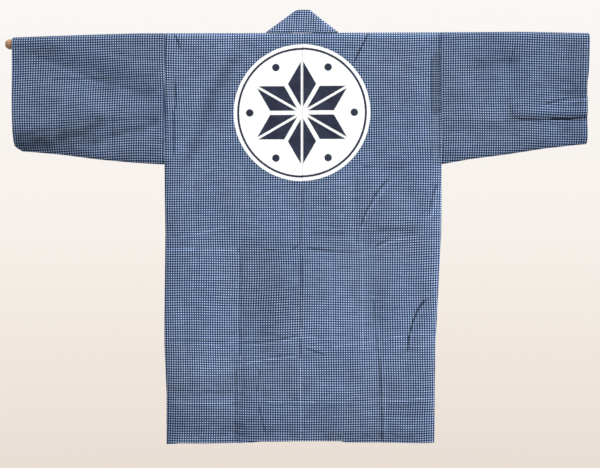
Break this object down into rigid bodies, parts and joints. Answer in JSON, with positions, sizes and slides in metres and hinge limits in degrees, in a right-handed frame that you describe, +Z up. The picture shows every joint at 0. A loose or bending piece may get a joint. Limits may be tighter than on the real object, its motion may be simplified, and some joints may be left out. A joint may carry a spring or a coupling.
{
  "type": "happi coat on a wooden rod",
  "caption": "Straight-cut cotton happi coat hung flat by both sleeves on a round wooden rod, with a folded collar band and an open front.",
  "frame": {"origin": "on the rod's axis at the coat's centre back, where the rod is held up", "axes": "+Z up; +X along the rod towards the wearer's right sleeve; the coat's back faces -Y and its open front faces +Y"},
  "size_m": [1.2821, 0.0403, 0.9538],
  "materials": {
    "indigo_body": "matte plain-woven cotton with a small pale check",
    "indigo_sleeve": "matte plain-woven cotton with a small pale check",
    "indigo_collar": "matte plain-woven cotton, doubled",
    "rod_wood": "smooth, lightly oiled"
  },
  "bodies": {
    "root": {"rod_left": "rod_wood", "rod_middle": "rod_wood", "rod_right": "rod_wood", "back_left": "indigo_body", "back_right": "indigo_body", "front_left": "indigo_body", "front_right": "indigo_body", "sleeve_left": "indigo_sleeve", "sleeve_right": "indigo_sleeve", "collar": "indigo_collar"}
  },
  "joints": []
}
